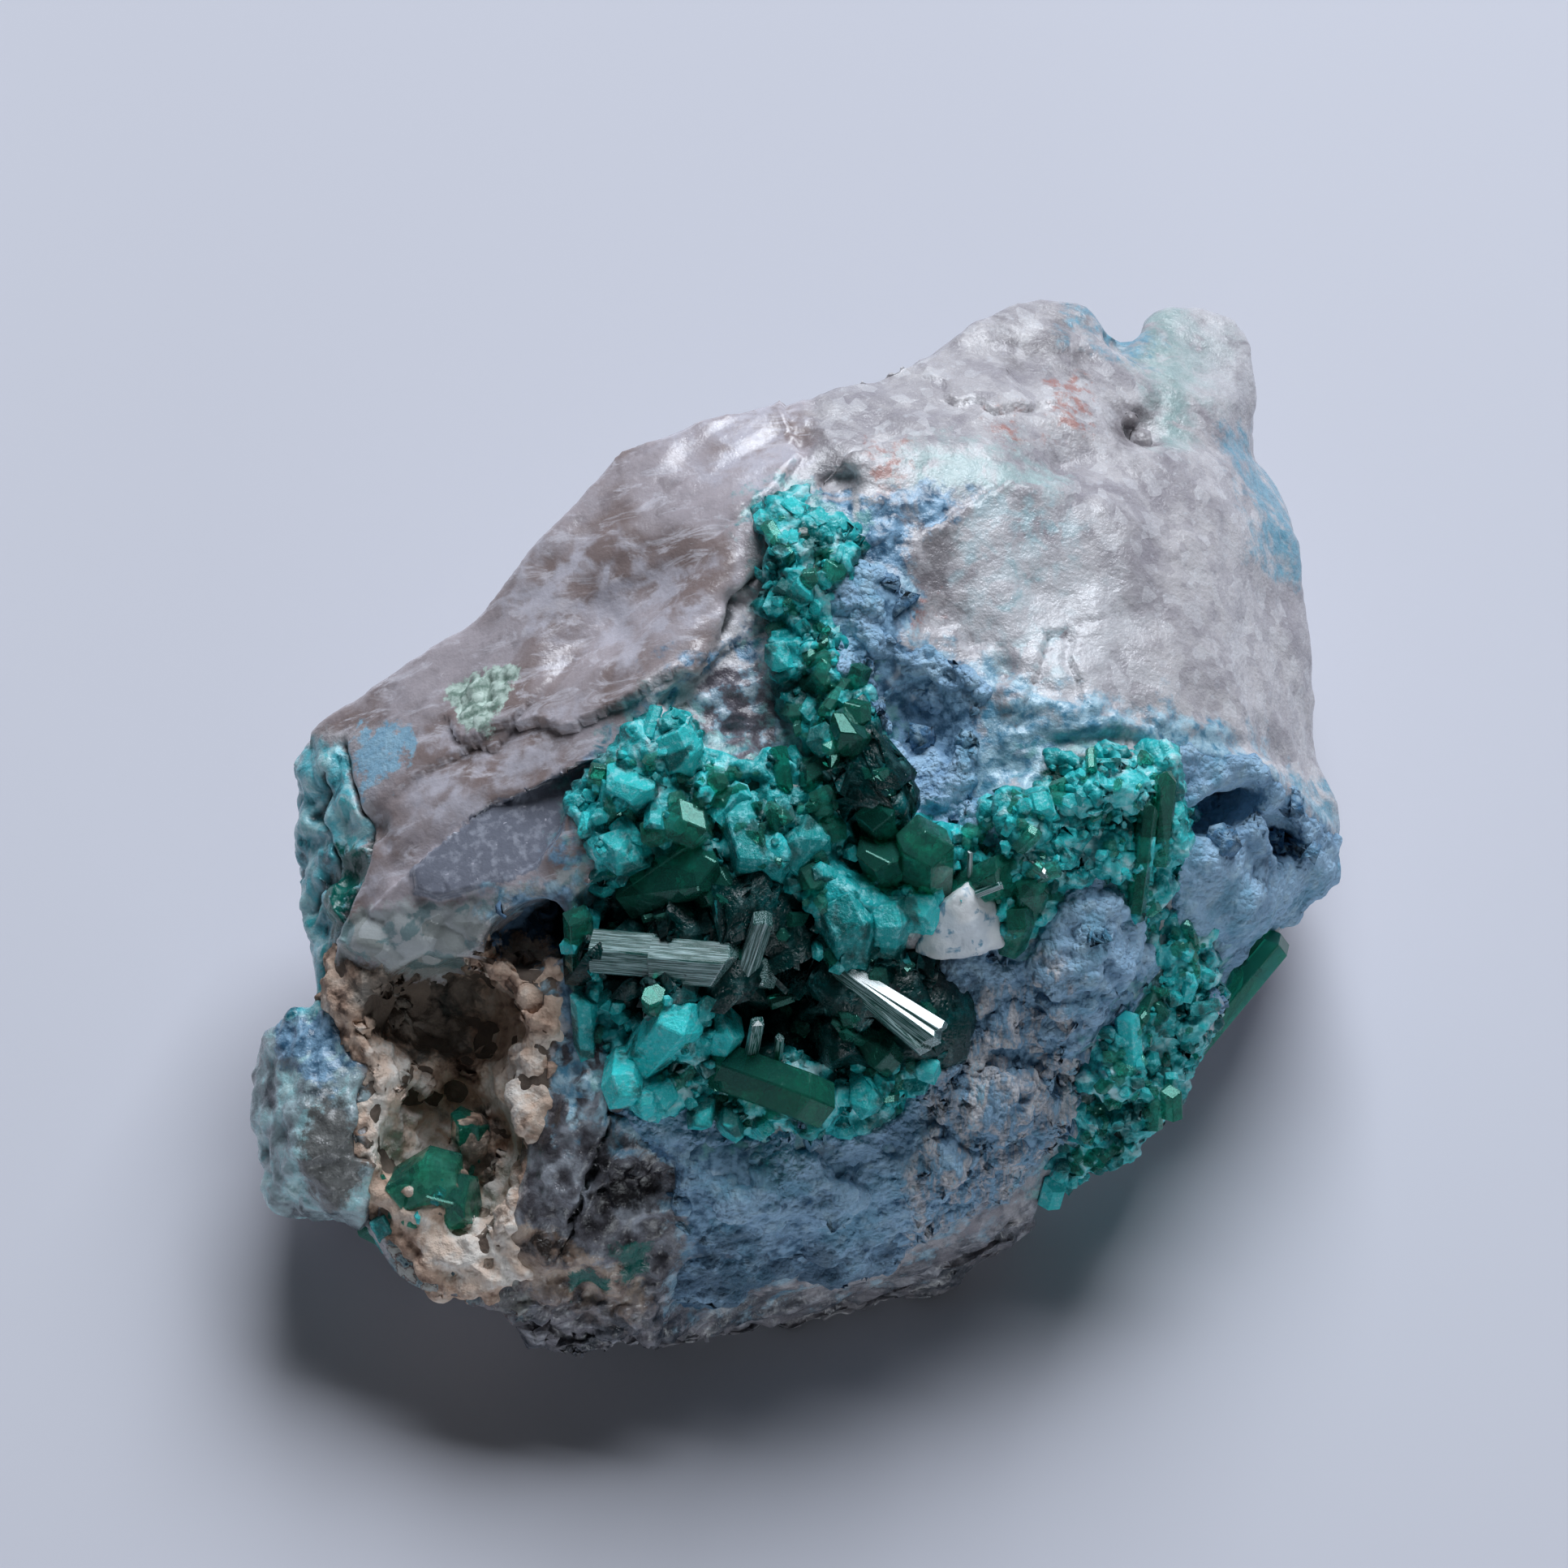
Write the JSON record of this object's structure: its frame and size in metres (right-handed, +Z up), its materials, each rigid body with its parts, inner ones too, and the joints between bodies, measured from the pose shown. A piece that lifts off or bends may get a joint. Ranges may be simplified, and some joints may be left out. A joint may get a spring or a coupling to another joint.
{
  "type": "malachite and quartz mineral specimen",
  "caption": "Broken block of pale quartz on a flat foot, with pockets of dark green crystals, rounded slate-blue crusts and a tan lined hollow; a display specimen.",
  "frame": {"origin": "middle of the ground outline's bounding box, on the ground", "axes": "+Z up from the flat foot; +Y away from the viewer; +X to the viewer's right. The decorated face looks toward -Y and up."},
  "size_m": [0.0566, 0.0574, 0.0328],
  "materials": {
    "quartz": "translucent pale grey quartz with glassy broken faces",
    "white_quartz": "milky white quartz",
    "green_crystal": "clear to frosted deep green crystal, glossy faces",
    "blue_crust": "matt slate-blue rounded crust",
    "tan_crust": "matt tan and cream crust"
  },
  "bodies": {
    "root": {"quartz_matrix": "quartz", "green_crystal_cluster": "green_crystal", "right_green_crystals": "green_crystal", "lower_right_green_crystals": "green_crystal", "vug_green_crystals": "green_crystal", "lower_blue_crust": "blue_crust", "upper_blue_crust": "blue_crust", "right_blue_crust": "blue_crust", "tan_vug_lining": "tan_crust", "white_quartz_chip": "white_quartz"}
  },
  "joints": []
}
